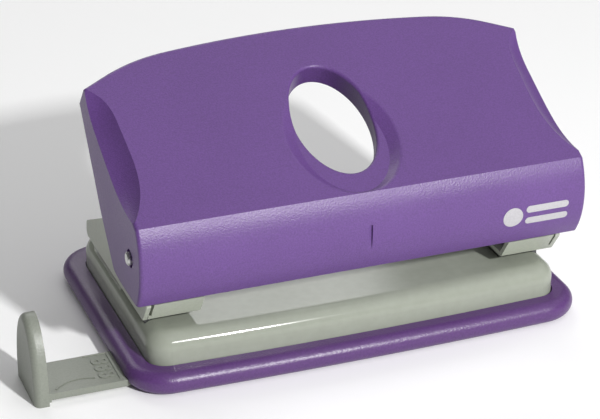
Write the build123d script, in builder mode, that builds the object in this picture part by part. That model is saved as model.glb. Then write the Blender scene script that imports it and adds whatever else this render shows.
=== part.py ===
from build123d import *
import os
from math import cos, radians, sin

# Desk punch for two holes. Millimetres, +X along the punch, +Y to the back, +Z up.
# Origin: middle of the footprint, on the desk.

# ---- what is punched ----
hole_spacing = 80.0
pin_diameter = 5.5
pin_reach = 12.0            # hole centre to the edge of the paper
mouth_reach = 8.3           # hole centre to the mouth of the paper throat
pin_y = -15.0

# ---- chip tray ----
tray_length = 103.2
tray_depth = 64.6
side_bow = 1.2              # bulge of the long sides
tray_corner = 9.2
bead_height = 5.0
bead_width = 4.5
tray_floor = 1.2
channel_wall = 0.9          # roof and sides of the guide channel
channel_overlap = 0.5       # how far the channel's block runs into the bead
bead_land = 0.1             # flat left round the side of the bead

# ---- base ----
cover_height = 11.7
cover_wall = 1.8
cover_edge = 3.6
cover_front_corner = 5.0
cover_rear_corner = 7.5
plate_thickness = 1.2
die_length = 15.0
die_width = 9.2
die_thickness = 1.7
die_stand = 0.5             # die top above the cover
die_lead = 4.2              # hole centre to the front edge of the die
die_bevel = 0.4
pad_inset = 1.1             # bracket pads, inside the bracket's sides
pad_setback = 1.2
pad_corner = 1.0
chip_clearance = 0.8        # chip hole round the pin

# ---- brackets ----
sheet = 1.0
bracket_room = 2.65         # pin's side to the outer face of the inner side plate
bracket_outer = 47.1        # outer face of the outer side plate, from the middle
web_bottom = 14.0
lip_lean = 34.6             # degrees from vertical
lip_rise = 5.2
lip_slot = 0.6
bracket_rear = 19.6
tail_height = 3.7
tail_round = 1.5
tail_lean = 0.7
side_toe = 0.2              # outer side plate: foot behind the mouth, tip below the lip's top
side_tip = 0.9
inner_toe = 1.0             # inner side plate: foot behind the hole centre
web_setback = 2.4
bend_radius = 0.9
slot_foot = 0.4
slot_length = 8.0
shoulder_y = -8.5
shoulder_z = 31.3

# ---- hinge ----
hinge_arm = 9.9             # axle in front of the pins
hinge_z = 29.8
axle_diameter = 2.5
axle_head = 2.9
axle_head_height = 0.7
axle_bevel = 0.3
axle_recess = 4.0           # round recess in the handle's end, round the axle's head
axle_recess_depth = 0.5
eye_radius = 3.0
washer_radius = 3.0
washer_thickness = 0.6

# ---- pins, guides and springs ----
pin_top = 29.0
pin_bottom = 14.3
pin_notch = 1.1
pin_bevel = 0.35
guide_thickness = 1.2
guide_bottom = 23.2
guide_front = 5.0
guide_rear = 4.5
tab_width = 4.0
clip_width = 1.15           # clip: beyond the pin
clip_thickness = 0.6
groove_depth = 0.6
wire = 0.55
spring_space = 0.6          # middle of the spring's wire, beyond the pin
spring_turns = 5
spring_gap = 0.05
press_angle = 24.0          # degrees, rest to fully pressed

# ---- fasteners ----
rivet_diameter = 3.0
rivet_head = 5.2
rivet_head_height = 1.1
rivet_round = 0.66
rivet_bevel = 0.44
rivet_rows = (3.5, 13.5)
die_rivet_diameter = 2.0
die_rivet_head = 3.6
die_rivet_back = 8.0        # behind the hole centre
die_rivet_tail = 0.6
die_rivet_bevel = 0.3

# ---- handle ----
handle_half = 49.85
shell = 2.0
handle_bottom = 20.55
front_low_y = -29.0
front_mid_y = -32.0
front_mid_z = 29.3
crease_y = -28.5            # a point of the sloped face, near the crease
crease_z = 39.1
crease_back = 1.5           # sharp crease in front of that point
crease_radius = 3.4
inner_corner = 0.36         # how far the inside corner moves back, for each mm of wall
slope = 25.43               # degrees
ridge_mid = 46.5            # crease line to the ridge, along the slope
ridge_end = 37.4
ridge_flat_half = 38.3
ridge_flat_drop = 2.93
ridge_radius = 40.0
rim_angle = 50.0            # degrees below horizontal
end_round = 0.8
rim_end_y = 9.8
rim_end_z = 50.5
rim_over = (8.0, 6.0)       # the rear rim's line is drawn on past its end by this
heel_y = -4.3
heel_z = 30.3
toe_y = -12.5
toe_z = 21.0
toe_run = 5.0
scoop_out = 6.33            # the scoop's axis: beyond the end face, and above the slope
scoop_up = 8.7
scoop_profile = ((-1.0, 10.4), (3.6, 12.2), (9.0, 13.5), (17.0, 14.0), (25.0, 13.8),
                 (32.0, 13.2), (37.6, 10.5))    # place along the slope, radius
finger_width = 17.4
finger_length = 29.2
finger_mid = 19.9           # crease to the middle of the hole, along the slope
rim_round = 0.6
collar_wall = 1.8
collar_depth = 5.0
dish_width = 24.4
dish_length = 31.6
dish_mid = 14.4
dish_side = 2.6             # width of the dish's sloping side
dish_front = 1.3
dish_depth = 1.4
dish_round = 1.1
rib_thickness = 4.0
mark_width = 0.9
mark_height = 6.0
mark_depth = 0.5
mark_low_z = 25.8
rib_front = 5.2
rib_rear = 5.0
rib_rise_front = 3.0
rib_rise_rear = 4.0

# ---- paper guide ----
guide_width = 12.8
guide_strip = 1.5
guide_y = -19.0
guide_underside = 0.5
stop_face = 68.5            # middle of the punch to the stop face
stop_thickness = 3.0
stop_width = 15.8
stop_height = 17.8
stop_straight = 3.0         # height of the stop's straight sides
stop_round = 1.4
foot_length = 3.8
guide_corner = 2.0
guide_in = 16.4             # travel from rest until the stop meets the tray
guide_out = 36.5            # travel from rest to the widest paper
guide_end_gap = 2.6
rail = 1.2
rail_height = 0.4

# ---- clearances ----
cover_gap = 0.15
slide_gap = 0.2
running = 0.1
seat_gap = 0.1

# ---- working allowances ----
cut_over = 1.0              # how far a cut runs past the face it opens
slope_over = 8.0            # how far the sloped face is drawn past the ridge
near = 0.1                  # tolerances for picking edges
touch = 0.01

# ---- derived places ----
pin_x = hole_spacing / 2
pin_radius = pin_diameter / 2
bracket_inner = pin_x - pin_radius - bracket_room
axle_radius = axle_diameter / 2
hinge_y = pin_y - hinge_arm
clip_radius = pin_radius + clip_width
spring_radius = pin_radius + spring_space
throat_back = pin_y + pin_reach
mouth_y = pin_y - mouth_reach
pocket_length = tray_length - 2 * bead_width
pocket_depth = tray_depth - 2 * bead_width
pocket_corner = tray_corner - bead_width
cover_length = pocket_length - 2 * cover_gap
cover_depth = pocket_depth - 2 * cover_gap
cover_bottom = tray_floor + seat_gap
cover_inside = cover_height - cover_wall
plate_bottom = cover_inside - plate_thickness
die_top = cover_height + die_stand
die_bottom = die_top - die_thickness
die_front = pin_y - die_lead
die_rear = die_front + die_length
pad_front = throat_back
pad_rear = bracket_rear - pad_setback
bracket_mid = (bracket_inner + bracket_outer) / 2
web_top = web_bottom + sheet
chip_hole = pin_radius + chip_clearance
channel_roof = guide_underside + guide_strip + slide_gap + running
channel_block = channel_roof + channel_wall
channel_width = guide_width + 2 * slide_gap
guide_end_x = tray_length - stop_face - guide_in - guide_end_gap
channel_end = guide_end_x + guide_in + slide_gap
block_front = pocket_length / 2 + channel_overlap
block_length = channel_end + channel_wall + block_front
block_x = channel_end + channel_wall - block_length / 2
block_width = channel_width + 2 * channel_wall
slope_along = (cos(radians(slope)), sin(radians(slope)))
slope_normal = (-sin(radians(slope)), cos(radians(slope)))
rim_down = Vector(0, cos(radians(rim_angle)), -sin(radians(rim_angle)))
sides = (-1, 1)


def bowed_outline(length, depth, bow, front_corner, rear_corner):
    """Rounded rectangle whose front and rear edges bulge outwards."""
    half_l, half_d = length / 2, depth / 2
    with BuildSketch(mode=Mode.PRIVATE) as outline:
        with BuildLine():
            ThreePointArc((-half_l, -half_d), (0, -half_d - bow), (half_l, -half_d))
            Line((half_l, -half_d), (half_l, half_d))
            ThreePointArc((half_l, half_d), (0, half_d + bow), (-half_l, half_d))
            Line((-half_l, half_d), (-half_l, -half_d))
        make_face()
        fillet(outline.vertices().group_by(Axis.Y)[0], front_corner)
        fillet(outline.vertices().group_by(Axis.Y)[-1], rear_corner)
    return outline.sketch


def save(builder, name):
    """Label a finished sub-part and write its STEP file."""
    builder.part.label = name
    export_step(builder.part, f"parts/{name}.step")


os.makedirs("parts", exist_ok=True)

# ---- chip tray: floor, rounded bead, raised roof over the guide channel ----
with BuildPart() as chip_tray:
    with BuildSketch():
        add(bowed_outline(tray_length, tray_depth, side_bow, tray_corner, tray_corner))
    extrude(amount=bead_height)
    bead_edges = chip_tray.edges().group_by(Axis.Z)
    fillet(bead_edges[0] + bead_edges[-1], (bead_height - bead_land) / 2)
    with BuildSketch(Plane.XY.offset(tray_floor)):
        add(bowed_outline(pocket_length, pocket_depth, side_bow, pocket_corner, cover_rear_corner))
    extrude(amount=bead_height, mode=Mode.SUBTRACT)
    with BuildSketch():
        with Locations((block_x, guide_y)):
            Rectangle(block_length, block_width)
    extrude(amount=channel_block)
    run = channel_end + tray_length / 2 + cut_over
    with BuildSketch(Plane.XY.offset(rail_height)):
        with Locations((channel_end - run / 2, guide_y)):
            Rectangle(run, channel_width)
    extrude(amount=channel_roof - rail_height, mode=Mode.SUBTRACT)
    with BuildSketch():
        with Locations((channel_end - run / 2, guide_y)):
            Rectangle(run, channel_width - 2 * rail)
    extrude(amount=rail_height, mode=Mode.SUBTRACT)
save(chip_tray, "chip_tray")

# ---- base cover: moulded shell with two bracket pads and two die seats ----
with BuildPart() as base_cover:
    with BuildSketch(Plane.XY.offset(cover_bottom)):
        add(bowed_outline(cover_length, cover_depth, side_bow, cover_front_corner, cover_rear_corner))
    extrude(amount=cover_height - cover_bottom)
    fillet(base_cover.edges().group_by(Axis.Z)[-1], cover_edge)
    with BuildSketch(Plane.XY.offset(cover_bottom)):
        add(bowed_outline(cover_length - 2 * cover_wall, cover_depth - 2 * cover_wall, side_bow,
                          cover_front_corner - cover_wall, cover_rear_corner - cover_wall))
    extrude(amount=cover_inside - cover_bottom, mode=Mode.SUBTRACT)
    pad_width = bracket_outer - bracket_inner - 2 * pad_inset
    with BuildSketch(Plane.XY.offset(cover_inside)):
        with Locations(*[(s * bracket_mid, (pad_front + pad_rear) / 2) for s in sides]):
            RectangleRounded(pad_width, pad_rear - pad_front, pad_corner)
    extrude(amount=web_bottom - cover_inside)
    with BuildSketch(Plane.XY.offset(die_bottom)):
        with Locations(*[(s * bracket_mid, (die_front + die_rear) / 2) for s in sides]):
            Rectangle(die_width + 2 * seat_gap, die_length + 2 * seat_gap)
    extrude(amount=cover_height - die_bottom, mode=Mode.SUBTRACT)
    with BuildSketch(Plane.XY.offset(cover_inside)):
        with Locations(*[(s * pin_x, pin_y) for s in sides]):
            Circle(chip_hole)
        with Locations(*[(s * bracket_mid, pin_y + die_rivet_back) for s in sides]):
            Circle(die_rivet_diameter / 2)
        with Locations(*[(s * bracket_mid, y) for s in sides for y in rivet_rows]):
            Circle(rivet_diameter / 2)
    extrude(amount=web_bottom, mode=Mode.SUBTRACT)
    with BuildSketch():
        with Locations((block_x, guide_y)):
            Rectangle(block_length + 2 * cover_gap, block_width + 2 * cover_gap)
    extrude(amount=channel_block + cover_gap, mode=Mode.SUBTRACT)
save(base_cover, "base_cover")

# ---- steel plate under the cover ----
with BuildPart() as base_plate:
    with BuildSketch(Plane.XY.offset(plate_bottom)):
        add(bowed_outline(cover_length - 2 * cover_wall - 4 * cover_gap,
                          cover_depth - 2 * cover_wall - 4 * cover_gap, side_bow,
                          cover_front_corner - cover_wall, cover_rear_corner - cover_wall))
        with Locations(*[(s * pin_x, pin_y) for s in sides]):
            Circle(chip_hole, mode=Mode.SUBTRACT)
        with Locations(*[(s * bracket_mid, pin_y + die_rivet_back) for s in sides]):
            Circle(die_rivet_diameter / 2, mode=Mode.SUBTRACT)
        with Locations(*[(s * bracket_mid, y) for s in sides for y in rivet_rows]):
            Circle(rivet_diameter / 2, mode=Mode.SUBTRACT)
    extrude(amount=plate_thickness)
save(base_plate, "base_plate")

# ---- dies ----
head_drop = (die_rivet_head - die_rivet_diameter) / 2
with BuildPart() as die_right:
    with BuildSketch(Plane.XY.offset(die_bottom)):
        with Locations((bracket_mid, (die_front + die_rear) / 2)):
            Rectangle(die_width, die_length)
        with Locations((pin_x, pin_y)):
            Circle(pin_radius + running, mode=Mode.SUBTRACT)
    extrude(amount=die_thickness)
    chamfer(die_right.edges().group_by(Axis.Z)[-1].sort_by(Axis.Y)[0], die_bevel)
    with Locations((bracket_mid, pin_y + die_rivet_back, die_top)):
        CounterSinkHole(die_rivet_diameter / 2, die_rivet_head / 2, counter_sink_angle=90)
save(die_right, "die_right")

with BuildPart() as die_left:
    mirror(die_right.part, about=Plane.YZ)
save(die_left, "die_left")

with BuildPart() as die_rivets:
    for s in sides:
        with BuildSketch(Plane.XZ.offset(-(pin_y + die_rivet_back))):
            with BuildLine():
                Polyline((s * bracket_mid, die_top),
                         (s * bracket_mid + die_rivet_head / 2, die_top),
                         (s * bracket_mid + die_rivet_diameter / 2, die_top - head_drop),
                         (s * bracket_mid + die_rivet_diameter / 2, plate_bottom),
                         (s * bracket_mid + die_rivet_head / 2, plate_bottom),
                         (s * bracket_mid + die_rivet_head / 2 - die_rivet_bevel,
                          plate_bottom - die_rivet_tail),
                         (s * bracket_mid, plate_bottom - die_rivet_tail), close=True)
            make_face()
        revolve(axis=Axis((s * bracket_mid, pin_y + die_rivet_back, 0), (0, 0, 1)))
save(die_rivets, "die_rivets")


def bracket_outline(front):
    """Side view of a bracket plate, its front edge given by the points in front."""
    with BuildSketch(mode=Mode.PRIVATE) as outline:
        with BuildLine():
            Polyline(*front, (hinge_y - eye_radius, hinge_z), (hinge_y, hinge_z + eye_radius),
                     (shoulder_y, shoulder_z), (bracket_rear - tail_lean, web_bottom + tail_height),
                     (bracket_rear, web_bottom), close=True)
        make_face()
        fillet(outline.vertices().sort_by(Axis.X)[-2:], tail_round)
        with Locations((hinge_y, hinge_z)):
            Circle(eye_radius)
            Circle(axle_radius + running, mode=Mode.SUBTRACT)
        with Locations((pin_y, guide_bottom + guide_thickness / 2)):
            Rectangle(tab_width, guide_thickness, mode=Mode.SUBTRACT)
    return outline.sketch


# ---- bracket: bent channel with a slotted lead-in lip ----
lean_y, lean_z = sin(radians(lip_lean)), cos(radians(lip_lean))
lip_length = lip_rise / lean_z
lip_top = (mouth_y - lip_length * lean_y, web_bottom + lip_rise)
inner_bend = (1 - lean_y) / lean_z * sheet
with BuildPart() as bracket_right:
    with BuildSketch(Plane.YZ.offset(bracket_outer - sheet)):
        add(bracket_outline([(mouth_y + side_toe, web_bottom),
                             (mouth_y - (lip_length - side_tip) * lean_y,
                              lip_top[1] - side_tip * lean_z)]))
    extrude(amount=sheet)
    with BuildSketch(Plane.YZ.offset(bracket_inner)):
        add(bracket_outline([(pin_y + inner_toe, web_bottom)]))
    extrude(amount=sheet)
    with BuildSketch(Plane.YZ.offset(bracket_inner)):
        with BuildLine():
            Polyline((bracket_rear - web_setback, web_bottom), (mouth_y, web_bottom), lip_top,
                     (lip_top[0] + sheet * lean_z, lip_top[1] + sheet * lean_y),
                     (mouth_y + sheet * lean_z - inner_bend * lean_y, web_top),
                     (bracket_rear - web_setback, web_top), close=True)
        bent = make_face()
        fillet(bent.vertices().group_by(Axis.Y)[0].sort_by(Axis.X)[0], bend_radius)
    extrude(amount=bracket_outer - sheet - bracket_inner)
    slot_mid = bracket_outer - sheet - lip_slot / 2
    with Locations((slot_mid, mouth_y - slot_length / 4, web_top + slot_foot)):
        Box(lip_slot, slot_length, 2 * lip_rise, align=(Align.CENTER, Align.CENTER, Align.MIN),
            mode=Mode.SUBTRACT)
    with BuildSketch(Plane.XY.offset(web_bottom)):
        with Locations((pin_x, pin_y)):
            Circle(pin_radius + running)
        with Locations(*[(bracket_mid, y) for y in rivet_rows]):
            Circle(rivet_diameter / 2)
    extrude(amount=sheet, mode=Mode.SUBTRACT)
save(bracket_right, "bracket_right")

with BuildPart() as bracket_left:
    mirror(bracket_right.part, about=Plane.YZ)
save(bracket_left, "bracket_left")

# ---- rivets that hold the brackets on the pads ----
with BuildPart() as bracket_rivets:
    for s in sides:
        for y in rivet_rows:
            with BuildSketch(Plane.XY.offset(plate_bottom)):
                with Locations((s * bracket_mid, y)):
                    Circle(rivet_diameter / 2)
            extrude(amount=web_top - plate_bottom)
            with BuildSketch(Plane.XY.offset(web_top)):
                with Locations((s * bracket_mid, y)):
                    Circle(rivet_head / 2)
            extrude(amount=rivet_head_height)
            with BuildSketch(Plane.XY.offset(plate_bottom - rivet_head_height)):
                with Locations((s * bracket_mid, y)):
                    Circle(rivet_head / 2)
            extrude(amount=rivet_head_height)
    rims = bracket_rivets.edges().group_by(Axis.Z)
    fillet(rims[-1], rivet_round)
    chamfer(rims[0], rivet_bevel)
save(bracket_rivets, "bracket_rivets")

# ---- upper pin guide: plate with a tab through each side plate ----
with BuildPart() as guide_plate_right:
    with BuildSketch(Plane.XY.offset(guide_bottom)):
        with Locations((bracket_mid, pin_y + (guide_rear - guide_front) / 2)):
            Rectangle(bracket_outer - bracket_inner - 2 * sheet, guide_front + guide_rear)
        with Locations((bracket_mid, pin_y)):
            Rectangle(bracket_outer - bracket_inner, tab_width)
        with Locations((pin_x, pin_y)):
            Circle(pin_radius + running, mode=Mode.SUBTRACT)
    extrude(amount=guide_thickness)
save(guide_plate_right, "guide_plate_right")

with BuildPart() as guide_plate_left:
    mirror(guide_plate_right.part, about=Plane.YZ)
save(guide_plate_left, "guide_plate_left")

# ---- punch pin with a clip groove and a notched cutting end ----
clip_top = guide_bottom - seat_gap
clip_bottom = clip_top - clip_thickness
with BuildPart() as punch_right:
    with BuildSketch(Plane.XZ.offset(-pin_y)):
        with BuildLine():
            Polyline((pin_x, pin_bottom), (pin_x + pin_radius, pin_bottom),
                     (pin_x + pin_radius, clip_bottom),
                     (pin_x + pin_radius - groove_depth, clip_bottom),
                     (pin_x + pin_radius - groove_depth, clip_top),
                     (pin_x + pin_radius, clip_top), (pin_x + pin_radius, pin_top),
                     (pin_x, pin_top), close=True)
        make_face()
    revolve(axis=Axis((pin_x, pin_y, 0), (0, 0, 1)))
    chamfer(punch_right.edges().group_by(Axis.Z)[-1], pin_bevel)
    with BuildSketch(Plane.YZ.offset(pin_x - pin_diameter)):
        with BuildLine():
            Polyline((pin_y - pin_diameter, pin_bottom - cut_over), (pin_y - pin_radius, pin_bottom),
                     (pin_y, pin_bottom + pin_notch), (pin_y + pin_radius, pin_bottom),
                     (pin_y + pin_diameter, pin_bottom - cut_over), close=True)
        make_face()
    extrude(amount=2 * pin_diameter, mode=Mode.SUBTRACT)
save(punch_right, "punch_right")

with BuildPart() as punch_left:
    mirror(punch_right.part, about=Plane.YZ)
save(punch_left, "punch_left")

# ---- retaining clip in the pin's groove, open to the rear ----
with BuildPart() as clip_right:
    with BuildSketch(Plane.XY.offset(clip_bottom)):
        with Locations((pin_x, pin_y)):
            Circle(clip_radius)
            Circle(pin_radius - groove_depth, mode=Mode.SUBTRACT)
        with Locations((pin_x, pin_y + clip_radius / 2)):
            Rectangle(pin_radius, clip_radius, mode=Mode.SUBTRACT)
    extrude(amount=clip_thickness)
save(clip_right, "clip_right")

with BuildPart() as clip_left:
    mirror(clip_right.part, about=Plane.YZ)
save(clip_left, "clip_left")

# ---- return spring between the web and the clip ----
spring_low = web_top + wire / 2 + spring_gap
spring_high = clip_bottom - wire / 2 - spring_gap
with BuildPart() as spring_right:
    with BuildLine():
        coil = Helix(pitch=(spring_high - spring_low) / spring_turns, height=spring_high - spring_low,
                     radius=spring_radius, center=(pin_x, pin_y, spring_low))
    with BuildSketch(Plane(origin=coil @ 0, z_dir=coil % 0)):
        Circle(wire / 2)
    sweep(path=coil, is_frenet=True)
save(spring_right, "spring_right")

with BuildPart() as spring_left:
    mirror(spring_right.part, about=Plane.YZ)
save(spring_left, "spring_left")

# ---- hinge axle with peened ends, and its washers ----
with BuildPart() as hinge_axle:
    with BuildSketch(Plane.YZ.offset(-handle_half)):
        with Locations((hinge_y, hinge_z)):
            Circle(axle_radius)
    extrude(amount=2 * handle_half)
    for s in sides:
        with BuildSketch(Plane.YZ.offset(s * (handle_half - axle_recess_depth))):
            with Locations((hinge_y, hinge_z)):
                Circle(axle_head / 2)
        extrude(amount=s * (axle_recess_depth + axle_head_height))
    ends = hinge_axle.edges().group_by(Axis.X)
    chamfer(ends[0] + ends[-1], axle_bevel)
save(hinge_axle, "hinge_axle")

washer_mid = (bracket_outer + handle_half - shell) / 2
with BuildPart() as axle_washers:
    for s in sides:
        with BuildSketch(Plane.YZ.offset(s * washer_mid - washer_thickness / 2)):
            with Locations((hinge_y, hinge_z)):
                Circle(washer_radius)
                Circle(axle_radius, mode=Mode.SUBTRACT)
        extrude(amount=washer_thickness)
save(axle_washers, "axle_washers")


# ---- handle ----
def on_slope(along, depth=0.0):
    """Point in the side view: along the sloped face, and depth below it."""
    return (crease_y + along * slope_along[0] - depth * slope_normal[0],
            crease_z + along * slope_along[1] - depth * slope_normal[1])


reach = ridge_mid + slope_over
block_drop = 40.0           # depth of the block that the ridge's outline cuts
slope_plane = Plane(origin=(0, crease_y, crease_z), x_dir=(1, 0, 0),
                    z_dir=(0, slope_normal[0], slope_normal[1]))


def front_wall(inset):
    """Side view of the front and sloped faces, moved inwards by inset."""
    corner = on_slope(inset * inner_corner - crease_back, inset)
    with BuildLine(mode=Mode.PRIVATE) as wall:
        ThreePointArc((front_low_y + inset, handle_bottom), (front_mid_y + inset, front_mid_z), corner)
        Line(corner, on_slope(reach, inset))
    return wall.line


def ridge_outline(inset):
    """Arched outline of the sloped face, drawn on the slope, moved inwards by inset."""
    half = handle_half - inset
    fall = (ridge_mid - ridge_flat_drop - ridge_end) / (handle_half - ridge_flat_half)
    end = ridge_end - inset + fall * inset
    flat = ridge_mid - ridge_flat_drop - inset
    with BuildSketch(mode=Mode.PRIVATE) as outline:
        with BuildLine():
            Polyline((-ridge_flat_half, flat), (-half, end), (-half, -reach), (half, -reach),
                     (half, end), (ridge_flat_half, flat))
            ThreePointArc((-ridge_flat_half, flat), (0, ridge_mid - inset), (ridge_flat_half, flat))
        make_face()
        fillet(outline.vertices().filter_by(lambda v: abs(abs(v.X) - ridge_flat_half) < near), ridge_radius)
    return outline.sketch


def scoop(grow, side):
    """Spindle that hollows out the edge between an end face and the sloped face."""
    first, last = on_slope(scoop_profile[0][0], -scoop_up), on_slope(scoop_profile[-1][0], -scoop_up)
    swell = [on_slope(along, radius + grow - scoop_up) for along, radius in scoop_profile]
    with BuildPart(mode=Mode.PRIVATE) as spindle:
        with BuildSketch(Plane.YZ.offset(side * (handle_half + scoop_out))):
            with BuildLine():
                Spline(swell)
                Polyline(swell[-1], last, first, swell[0])
            make_face()
        revolve(axis=Axis((side * (handle_half + scoop_out), *first), (0, *slope_along)))
    return spindle.part


def along_slope(point):
    """Distance of a point from the crease, along the sloped face."""
    return (point.Y - crease_y) * slope_along[0] + (point.Z - crease_z) * slope_along[1]


def above_slope(point):
    """Height of a point above the sloped face."""
    return (point.Y - crease_y) * slope_normal[0] + (point.Z - crease_z) * slope_normal[1]


def nose_point(turn):
    """Involute of the circle round the axle that the pins' line touches, at a press angle."""
    drop = pin_top - hinge_z - hinge_arm * turn
    return (hinge_y + hinge_arm * cos(turn) - drop * sin(turn),
            hinge_z + hinge_arm * sin(turn) + drop * cos(turn))


nose_parts = 6
nose_steps = [radians(press_angle) * k / nose_parts for k in range(-1, nose_parts + 2)]

# inside of the handle: open to the rear and to the bottom
with BuildPart() as handle_hollow:
    with BuildSketch(Plane.YZ.offset(shell - handle_half)):
        with BuildLine():
            add(front_wall(shell))
            Polyline(on_slope(reach, shell), (reach, crease_z), (reach, 0), (front_low_y + shell, 0),
                     (front_low_y + shell, handle_bottom))
        hollow_side = make_face()
        fillet(hollow_side.vertices().sort_by(Axis.X)[0:3].sort_by(Axis.Y)[-1], crease_radius - shell)
    extrude(amount=2 * (handle_half - shell))
    with BuildSketch(slope_plane):
        add(ridge_outline(shell))
    extrude(amount=2 * block_drop, dir=rim_down, both=True, mode=Mode.INTERSECT)
    for s in sides:
        add(scoop(shell, s), mode=Mode.SUBTRACT)

with BuildPart() as handle_shell:
    # closed side view of the whole handle
    with BuildSketch(Plane.YZ.offset(-handle_half)):
        with BuildLine():
            add(front_wall(0))
            Polyline(on_slope(reach), (rim_end_y + rim_over[0], rim_end_z + rim_over[1]),
                     (rim_end_y, rim_end_z), (heel_y, heel_z), (toe_y, toe_z),
                     (toe_y - toe_run, handle_bottom),
                     (front_low_y, handle_bottom))
        side_view = make_face()
        crease = side_view.vertices().sort_by_distance((0, *on_slope(-crease_back)))[0]
        fillet(crease, crease_radius)
    extrude(amount=2 * handle_half)
    with BuildSketch(slope_plane):
        add(ridge_outline(0))
    extrude(amount=block_drop, dir=rim_down, both=True, mode=Mode.INTERSECT)
    # rounded outer edges, then the hollowed ends
    end_edges = [e for e in handle_shell.edges()
                 if abs(abs(e.center().X) - handle_half) < touch
                 and (e.center().Y < front_low_y + shell or above_slope(e.center()) > -touch)]
    ridge_edges = [e for e in handle_shell.edges()
                   if above_slope(e.center()) > -touch and along_slope(e.center()) > ridge_end - 1]
    fillet(end_edges + ridge_edges, end_round)
    for s in sides:
        add(scoop(0, s), mode=Mode.SUBTRACT)
    add(handle_hollow.part, mode=Mode.SUBTRACT)
    # collar of the finger hole
    with BuildSketch(slope_plane.offset(-shell / 2)):
        with Locations((0, finger_mid)):
            Ellipse(finger_width / 2 + collar_wall, finger_length / 2 + collar_wall)
    extrude(amount=shell / 2 - collar_depth)
    with BuildSketch(slope_plane):
        with Locations((0, dish_mid)):
            Ellipse(dish_width / 2, dish_length / 2)
    with BuildSketch(slope_plane.offset(-dish_depth)):
        with Locations((0, dish_mid + (dish_front - dish_side) / 2)):
            Ellipse(dish_width / 2 - dish_side, dish_length / 2 - (dish_front + dish_side) / 2)
    loft(mode=Mode.SUBTRACT)
    dish_edges = [e for e in handle_shell.edges() if abs(above_slope(e.center())) < touch
                  and abs(e.bounding_box().size.X - dish_width) < near]
    fillet(dish_edges, dish_round)
    with BuildSketch(slope_plane.offset(cut_over)):
        with Locations((0, finger_mid)):
            Ellipse(finger_width / 2, finger_length / 2)
    extrude(amount=-2 * collar_depth, mode=Mode.SUBTRACT)
    rim = [e for e in handle_shell.edges() if abs(e.center().X) < finger_width / 2
           and -dish_depth - 2 * near < above_slope(e.center()) < near
           and abs(along_slope(e.center()) - finger_mid) < finger_length / 2 + near
           and e.bounding_box().size.X < finger_width + near]
    fillet(rim, rim_round)
    # ribs that press the pins; the nose is an involute, so the pins move in step with the handle
    for s in sides:
        with BuildSketch(Plane.YZ.offset(s * pin_x - rib_thickness / 2)):
            with BuildLine():
                nose = Spline([nose_point(t) for t in nose_steps])
                rib_top_rear = on_slope((pin_y + rib_rear - crease_y) / slope_along[0], shell / 2)
                rib_top_front = on_slope((pin_y - rib_front - crease_y) / slope_along[0], shell / 2)
                Polyline(nose @ 1, (pin_y + rib_rear, (nose @ 1).Y + rib_rise_rear), rib_top_rear,
                         rib_top_front, (pin_y - rib_front, (nose @ 0).Y + rib_rise_front), nose @ 0)
            make_face()
        extrude(amount=rib_thickness)
    # axle bores and the groove that marks the middle
    with BuildSketch(Plane.YZ.offset(-handle_half)):
        with Locations((hinge_y, hinge_z)):
            Circle(axle_radius)
    extrude(amount=2 * handle_half, mode=Mode.SUBTRACT)
    for s in sides:
        with BuildSketch(Plane.YZ.offset(s * handle_half)):
            with Locations((hinge_y, hinge_z)):
                Circle(axle_recess / 2)
        extrude(amount=-s * axle_recess_depth, mode=Mode.SUBTRACT)
    with Locations((0, front_mid_y, mark_low_z)):
        Box(mark_width, 2 * mark_depth, mark_height, align=(Align.CENTER, Align.CENTER, Align.MIN),
            mode=Mode.SUBTRACT)
save(handle_shell, "handle_shell")

# ---- paper guide: strip, upright stop and the foot under it ----
stop_outer = stop_face + stop_thickness
with BuildPart() as paper_guide:
    with BuildSketch(Plane.XY.offset(guide_underside)) as strip_outline:
        with Locations(((guide_end_x - stop_outer) / 2, guide_y)):
            Rectangle(guide_end_x + stop_outer, guide_width)
        fillet(strip_outline.vertices().group_by(Axis.X)[-1], guide_corner)
    extrude(amount=guide_strip)
    with BuildSketch(Plane.YZ.offset(-stop_outer)):
        with BuildLine():
            Polyline((guide_y + stop_width / 2, stop_straight), (guide_y + stop_width / 2, 0),
                     (guide_y - stop_width / 2, 0), (guide_y - stop_width / 2, stop_straight))
            EllipticalCenterArc((guide_y, stop_straight), stop_width / 2, stop_height - stop_straight,
                                start_angle=0, arc_size=180)
        make_face()
    extrude(amount=stop_thickness)
    rim_edges = paper_guide.edges().group_by(Axis.X)[0]
    fillet(rim_edges.filter_by(lambda e: e.center().Z > near), stop_round)
    with BuildSketch():
        with Locations((foot_length / 2 - stop_outer, guide_y)):
            Rectangle(foot_length, guide_width)
    extrude(amount=guide_underside)
save(paper_guide, "paper_guide")
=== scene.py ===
import math

import bpy
from mathutils import Matrix, Vector


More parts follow.
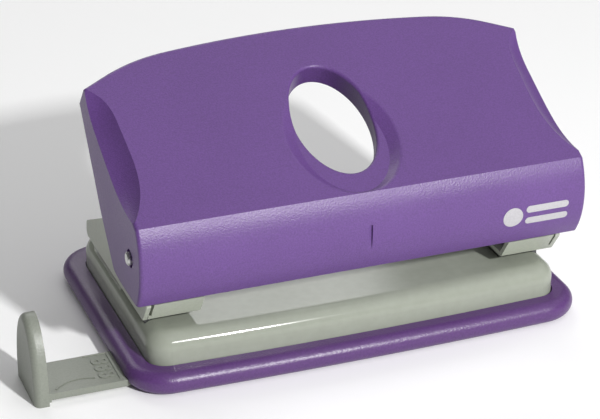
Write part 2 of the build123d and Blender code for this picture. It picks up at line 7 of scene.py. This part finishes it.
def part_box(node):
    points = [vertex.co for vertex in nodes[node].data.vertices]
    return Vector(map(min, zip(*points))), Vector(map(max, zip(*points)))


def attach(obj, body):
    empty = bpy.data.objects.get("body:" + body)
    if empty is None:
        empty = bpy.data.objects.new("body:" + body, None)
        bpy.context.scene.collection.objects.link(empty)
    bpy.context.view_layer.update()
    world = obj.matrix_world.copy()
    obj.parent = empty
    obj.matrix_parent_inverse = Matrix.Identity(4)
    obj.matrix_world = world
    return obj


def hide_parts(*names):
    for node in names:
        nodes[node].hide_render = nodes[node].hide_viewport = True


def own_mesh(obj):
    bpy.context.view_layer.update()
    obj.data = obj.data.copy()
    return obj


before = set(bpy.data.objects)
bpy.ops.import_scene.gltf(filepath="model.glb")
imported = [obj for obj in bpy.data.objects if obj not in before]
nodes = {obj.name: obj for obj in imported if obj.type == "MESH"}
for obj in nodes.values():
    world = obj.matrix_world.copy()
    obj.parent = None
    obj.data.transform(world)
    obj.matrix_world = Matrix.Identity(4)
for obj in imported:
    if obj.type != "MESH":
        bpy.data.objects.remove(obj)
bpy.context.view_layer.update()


# ---- helpers for materials ----
def start_material(name, base, roughness, metallic=0.0):
    """New node material; gives the material, its tree and its shader node."""
    material = bpy.data.materials.new(name)
    material.use_nodes = True
    tree = material.node_tree
    shader = tree.nodes["Principled BSDF"]
    shader.inputs["Base Color"].default_value = (*base, 1.0)
    shader.inputs["Roughness"].default_value = roughness
    shader.inputs["Metallic"].default_value = metallic
    return material, tree, shader


def object_noise(tree, scale, detail=2.0, stretch=(1.0, 1.0, 1.0)):
    """Noise on Object coordinates; gives the noise node."""
    place = tree.nodes.new("ShaderNodeTexCoord")
    mapping = tree.nodes.new("ShaderNodeMapping")
    mapping.inputs["Scale"].default_value = stretch
    noise = tree.nodes.new("ShaderNodeTexNoise")
    noise.inputs["Scale"].default_value = scale
    noise.inputs["Detail"].default_value = detail
    tree.links.new(place.outputs["Object"], mapping.inputs["Vector"])
    tree.links.new(mapping.outputs["Vector"], noise.inputs["Vector"])
    return noise


def ramp_between(tree, source, low, high, low_value, high_value, target):
    """Colour ramp from low_value to high_value over the source's low to high."""
    ramp = tree.nodes.new("ShaderNodeValToRGB")
    ramp.color_ramp.elements[0].position = low
    ramp.color_ramp.elements[1].position = high
    ramp.color_ramp.elements[0].color = (*low_value, 1.0)
    ramp.color_ramp.elements[1].color = (*high_value, 1.0)
    tree.links.new(source, ramp.inputs["Fac"])
    tree.links.new(ramp.outputs["Color"], target)


noise_middle = (0.3, 0.7)   # most of a noise's values lie in this range


def range_between(tree, source, low_value, high_value, target):
    """Map the source's middle range to low_value..high_value."""
    spread = tree.nodes.new("ShaderNodeMapRange")
    spread.inputs["From Min"].default_value = noise_middle[0]
    spread.inputs["From Max"].default_value = noise_middle[1]
    spread.inputs["To Min"].default_value = low_value
    spread.inputs["To Max"].default_value = high_value
    tree.links.new(source, spread.inputs["Value"])
    tree.links.new(spread.outputs["Result"], target)


def relief(tree, shader, source, distance):
    """Bump of the given height from the source."""
    bump = tree.nodes.new("ShaderNodeBump")
    bump.inputs["Distance"].default_value = distance
    bump.inputs["Strength"].default_value = 1.0
    tree.links.new(source, bump.inputs["Height"])
    tree.links.new(bump.outputs["Normal"], shader.inputs["Normal"])


# moulded plastic: flow clouds, grain specks, and how far the gloss varies
cloud_scale = 45.0
speck_share = 0.6
speck_gain = 2.5            # specks against clouds, in colour contrast
plastic_range = (0.35, 0.65)
plastic_gloss_fall, plastic_gloss_rise = 0.03, 0.04

# worked steel: drawing lines, stains, and how far the gloss varies
line_scale = 900.0
stain_scale = 260.0
stain_range = (0.35, 0.7)
clean_steel = 1.08
steel_gloss_fall, steel_gloss_rise = 0.07, 0.1


def shade(colour, factor):
    """The colour, lighter or darker by factor."""
    return tuple(min(1.0, c * factor) for c in colour)


def moulded_plastic(name, colour, roughness, grain, grain_depth, contrast, specular=0.5):
    """Injection-moulded plastic: spark-eroded grain, faint flow clouds, uneven gloss."""
    material, tree, shader = start_material(name, colour, roughness)
    clouds = object_noise(tree, cloud_scale, 3.0)
    specks = object_noise(tree, grain, 2.0)
    blend = tree.nodes.new("ShaderNodeMix")
    blend.data_type = "RGBA"
    blend.inputs["Factor"].default_value = speck_share
    ramp_between(tree, clouds.outputs["Fac"], *plastic_range, shade(colour, 1 - contrast),
                 shade(colour, 1 + contrast), blend.inputs["A"])
    speck_contrast = speck_gain * contrast
    ramp_between(tree, specks.outputs["Fac"], *plastic_range, shade(colour, 1 - speck_contrast),
                 shade(colour, 1 + speck_contrast), blend.inputs["B"])
    tree.links.new(blend.outputs["Result"], shader.inputs["Base Color"])
    range_between(tree, clouds.outputs["Fac"], roughness - plastic_gloss_fall,
                  roughness + plastic_gloss_rise,
                  shader.inputs["Roughness"])
    relief(tree, shader, specks.outputs["Fac"], grain_depth)
    shader.inputs["Specular IOR Level"].default_value = specular
    return material


def worked_steel(name, colour, roughness, stretch, depth, grime):
    """Steel with fine drawing or grinding lines and a little staining."""
    material, tree, shader = start_material(name, colour, roughness, 1.0)
    lines = object_noise(tree, line_scale, 3.0, stretch)
    stains = object_noise(tree, stain_scale, 4.0)
    ramp_between(tree, stains.outputs["Fac"], *stain_range, shade(colour, 1 - grime),
                 shade(colour, clean_steel), shader.inputs["Base Color"])
    range_between(tree, lines.outputs["Fac"], roughness - steel_gloss_fall,
                  roughness + steel_gloss_rise, shader.inputs["Roughness"])
    relief(tree, shader, lines.outputs["Fac"], depth)
    return material


# ---- colours and finishes ----
purple = (0.108, 0.047, 0.198)
purple_gloss = (0.088, 0.034, 0.145)
grey_green = (0.37, 0.395, 0.33)
cover_grey = (0.29, 0.31, 0.26)
guide_grey = (0.215, 0.23, 0.195)

# moulded: roughness, grain scale and depth, contrast.  steel: roughness, stretch, depth, grime
grained_purple = moulded_plastic("grained_purple", purple, 0.4, 3000.0, 0.00006, 0.07)
smooth_purple = moulded_plastic("smooth_purple", purple_gloss, 0.36, 2400.0, 0.00006, 0.06)
glossy_grey = moulded_plastic("glossy_grey", cover_grey, 0.11, 500.0, 0.000002, 0.015, 0.28)
satin_grey = moulded_plastic("satin_grey", guide_grey, 0.42, 2400.0, 0.00004, 0.03)
painted_grey = moulded_plastic("painted_grey", grey_green, 0.34, 1500.0, 0.00003, 0.025)
print_grey = moulded_plastic("print_grey", (0.42, 0.41, 0.43), 0.5, 2400.0, 0.00002, 0.03)
nylon_white = moulded_plastic("nylon_white", (0.68, 0.68, 0.65), 0.4, 1800.0, 0.00002, 0.02)
zinc_plate = worked_steel("zinc_plate", (0.62, 0.63, 0.64), 0.34, (1, 1, 1), 0.00001, 0.2)
pin_steel = worked_steel("pin_steel", (0.66, 0.66, 0.67), 0.22, (1, 1, 12), 0.000008, 0.1)
die_steel = worked_steel("die_steel", (0.24, 0.24, 0.25), 0.38, (12, 1, 1), 0.00001, 0.35)
axle_steel = worked_steel("axle_steel", (0.6, 0.6, 0.59), 0.3, (1, 1, 1), 0.00006, 0.35)
rivet_steel = worked_steel("rivet_steel", (0.6, 0.6, 0.6), 0.32, (1, 1, 1), 0.00002, 0.25)
spring_steel = worked_steel("spring_steel", (0.42, 0.42, 0.43), 0.3, (1, 1, 6), 0.00001, 0.25)

finishes = {
    "handle_shell": grained_purple, "chip_tray": smooth_purple, "base_cover": glossy_grey,
    "paper_guide": satin_grey, "bracket_left": painted_grey, "bracket_right": painted_grey,
    "base_plate": zinc_plate, "guide_plate_left": zinc_plate, "guide_plate_right": zinc_plate,
    "die_left": die_steel, "die_right": die_steel, "die_rivets": rivet_steel,
    "bracket_rivets": rivet_steel, "hinge_axle": axle_steel, "axle_washers": nylon_white,
    "punch_left": pin_steel, "punch_right": pin_steel, "clip_left": spring_steel,
    "clip_right": spring_steel, "spring_left": spring_steel, "spring_right": spring_steel,
}
for name, finish in finishes.items():
    nodes[name].data.materials.clear()
    nodes[name].data.materials.append(finish)


# ---- new pieces: raised and printed marks, return springs ----
weld = 0.000002             # points nearer than this are merged


def deselect_all():
    """Nothing selected, so an operator acts on the next piece alone."""
    bpy.ops.object.select_all(action="DESELECT")


def apply_modifier(piece, kind, **settings):
    """Add a modifier with the settings given, and apply it."""
    modifier = piece.modifiers.new(kind.lower(), kind)
    for setting, value in settings.items():
        setattr(modifier, setting, value)
    bpy.ops.object.modifier_apply(modifier=modifier.name)


def settle(piece, name, body, finish):
    """Apply the piece's place, turn its faces outwards, and join it to a body."""
    deselect_all()
    piece.select_set(True)
    bpy.context.view_layer.objects.active = piece
    bpy.ops.object.transform_apply(location=True, rotation=True, scale=True)
    bpy.ops.object.mode_set(mode="EDIT")
    bpy.ops.mesh.select_all(action="SELECT")
    bpy.ops.mesh.remove_doubles(threshold=weld)
    bpy.ops.mesh.normals_make_consistent(inside=False)
    bpy.ops.object.mode_set(mode="OBJECT")
    piece.name = name
    piece.data.materials.clear()
    piece.data.materials.append(finish)
    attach(piece, body)


guide_low, guide_high = (Vector(corner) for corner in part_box("paper_guide"))
strip_height = 0.002        # strip's upper face above the guide's lowest point
stop_thickness = 0.003
label_stand = 0.00022       # raised marks stand this far above the strip
label_ease = 0.00004
line_width = 0.0003
line_ease = 0.00008
strip_top = guide_low.z + strip_height
strip_mid = (guide_low.y + guide_high.y) / 2
stop_inside = guide_low.x + stop_thickness


def size_number(name, words, from_stop):
    """Raised paper size across the strip, from_stop along it."""
    deselect_all()
    bpy.ops.object.text_add(location=(0, 0, 0))
    label = bpy.context.object
    label.data.body = words
    label.data.size = 0.0052
    label.data.space_character = 1.12
    label.data.align_x = "CENTER"
    label.data.align_y = "CENTER"
    label.data.extrude = label_stand - label_ease
    label.data.bevel_depth = label_ease
    label.data.offset = 0.00006
    label.data.resolution_u = 4
    bpy.ops.object.convert(target="MESH")
    label = bpy.context.object
    label.location = (stop_inside + from_stop, strip_mid, strip_top)
    label.rotation_euler = (0, 0, math.radians(-90))
    settle(label, name, "guide", satin_grey)


size_number("number_folio", "888", 0.0135)
size_number("number_a6", "A6", 0.0190)
size_number("number_a5", "A5", 0.0500)


def strip_rib(name, low, high):
    """Low raised line on the strip, its upper edges eased."""
    middle_x, middle_y = (low[0] + high[0]) / 2, (low[1] + high[1]) / 2
    deselect_all()
    bpy.ops.mesh.primitive_cube_add(size=1, location=(middle_x, middle_y, strip_top))
    rib = bpy.context.object
    rib.scale = (high[0] - low[0], high[1] - low[1], 2 * label_stand)
    bpy.ops.object.transform_apply(location=True, rotation=True, scale=True)
    apply_modifier(rib, "BEVEL", width=line_ease, segments=2)
    settle(rib, name, "guide", satin_grey)


# two lines that frame the first number: along the strip's back edge, and across the strip
frame_back = strip_mid + 0.0057
frame_front = strip_mid - 0.0055
frame_start = stop_inside + 0.0108
frame_end = stop_inside + 0.0160
strip_rib("rib_back", (frame_start, frame_back), (frame_end, frame_back + line_width))
strip_rib("rib_end", (frame_end - line_width, frame_front), (frame_end, frame_back))


def coil_that_shortens(side):
    """Return spring of one pin, between the bracket's web and the clip: its own copy of the part's
    spring, which is hidden.
    """
    deselect_all()
    spring = nodes[f"spring_{side}"].copy()
    spring.data = spring.data.copy()
    bpy.context.collection.objects.link(spring)
    settle(spring, f"coil_{side}", "base", spring_steel)
    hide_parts(f"spring_{side}")
    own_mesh(spring)


for side in ("left", "right"):
    coil_that_shortens(side)


def curved_line(name, centre, radius, start, sweep):
    """Low raised arc on the strip: a small section spun round the arc's centre."""
    deselect_all()
    bpy.ops.mesh.primitive_plane_add(size=1, location=(0, 0, 0))
    arc = bpy.context.object
    bpy.ops.object.mode_set(mode="EDIT")
    bpy.ops.mesh.select_all(action="SELECT")
    bpy.ops.transform.resize(value=(line_width, 2 * label_stand, 1))
    bpy.ops.transform.rotate(value=math.radians(90), orient_axis="X", center_override=(0, 0, 0))
    bpy.ops.transform.translate(value=(centre.x + radius, centre.y, strip_top))
    bpy.ops.transform.rotate(value=-math.radians(start), orient_axis="Z", center_override=centre)
    bpy.ops.mesh.spin(steps=20, angle=-math.radians(sweep), center=centre, axis=(0, 0, 1))
    bpy.ops.object.mode_set(mode="OBJECT")
    settle(arc, name, "guide", satin_grey)


curved_line("arc_line", Vector((stop_inside + 0.00773, strip_mid - 0.01002, strip_top)),
            radius=0.00743, start=64.3, sweep=74.9)


ink_thickness = 0.0001


def printed_disc(name, place, radius, stretch):
    """Thin printed shape laid on the handle's curved front: a disc drawn out sideways."""
    deselect_all()
    bpy.ops.mesh.primitive_circle_add(vertices=40, radius=radius, fill_type="TRIFAN",
                                      location=place, rotation=(math.radians(90), 0, 0))
    print_shape = bpy.context.object
    bpy.ops.object.mode_set(mode="EDIT")
    bpy.ops.mesh.subdivide(number_cuts=4)
    bpy.ops.object.mode_set(mode="OBJECT")
    for point in print_shape.data.vertices:
        if abs(point.co.x) > 5 * weld:
            point.co.x += math.copysign(stretch, point.co.x)
    bpy.ops.object.transform_apply(location=True, rotation=True, scale=True)
    apply_modifier(print_shape, "SHRINKWRAP", target=nodes["handle_shell"],
                   wrap_method="PROJECT", use_project_y=True, use_positive_direction=True)
    apply_modifier(print_shape, "SOLIDIFY", thickness=ink_thickness, offset=0.0)
    settle(print_shape, name, "handle", print_grey)


# plain printed mark, laid on from in front of the handle: a disc and two bars beside it
print_place = Vector((0.0384, -0.036, 0.0278))
dot_shift, dot_radius = -0.0056, 0.0023
bar_shift, bar_rise, bar_radius, bar_stretch = 0.0024, 0.0014, 0.0008, 0.0042
printed_disc("print_dot", print_place + Vector((dot_shift, 0, 0)), dot_radius, 0.0)
for step, rise in enumerate((bar_rise, -bar_rise)):
    printed_disc(f"print_bar_{step}", print_place + Vector((bar_shift, 0, rise)), bar_radius,
                 bar_stretch)


# ---- floor, lights and camera ----
deselect_all()
bpy.ops.mesh.primitive_plane_add(size=6.0, location=(0, 0, 0))
floor = bpy.context.object
floor.name = "floor"
floor_finish = start_material("floor_white", (0.97, 0.97, 0.97), 0.8)[0]
floor.data.materials.append(floor_finish)


light_aim = Vector((0, 0, 0.02))


def soft_box(name, place, size, power):
    """Area light at place, facing the middle of the punch."""
    bpy.ops.object.light_add(type="AREA", location=place)
    lamp = bpy.context.object
    lamp.name = name
    lamp.data.shape = "RECTANGLE"
    lamp.data.size, lamp.data.size_y = size
    lamp.data.energy = power
    facing = light_aim - Vector(place)
    lamp.rotation_euler = facing.to_track_quat("-Z", "Y").to_euler()


soft_box("key_box", (0.16, -0.70, 0.44), (0.045, 0.05), 7.0)
soft_box("top_box", (0.35, -0.1, 0.75), (1.3, 1.0), 2.8)
soft_box("back_box", (0.0, 0.7, 0.55), (0.7, 0.3), 2.2)

world = bpy.data.worlds.new("studio")
world.use_nodes = True
world.node_tree.nodes["Background"].inputs["Color"].default_value = (0.95, 0.95, 0.95, 1)
world.node_tree.nodes["Background"].inputs["Strength"].default_value = 0.16
bpy.context.scene.world = world

# camera: its lens in millimetres, where it looks from, and what it looks at
focal_length = 128.358
sensor_width = 36.0
azimuth = math.radians(20.85)
elevation = math.radians(26.05)
roll = math.radians(0.08)
target = Vector((-0.00352, 0.0, 0.02144))
distance = 0.47208
looking = Vector((math.sin(azimuth) * math.cos(elevation), math.cos(azimuth) * math.cos(elevation),
                  -math.sin(elevation)))
level = Vector((math.cos(azimuth), -math.sin(azimuth), 0.0))
upward = level.cross(looking)
right = level * math.cos(roll) + upward * math.sin(roll)
up = upward * math.cos(roll) - level * math.sin(roll)
lens = bpy.data.cameras.new("camera")
camera = bpy.data.objects.new("camera", lens)
bpy.context.collection.objects.link(camera)
lens.sensor_width = sensor_width
lens.lens = focal_length
lens.clip_start, lens.clip_end = 0.01, 20.0
camera.matrix_world = Matrix.Translation(target - looking * distance) @ Matrix(
    (right, up, -looking)).transposed().to_4x4()
bpy.context.scene.camera = camera
bpy.context.scene.view_settings.view_transform = "Standard"
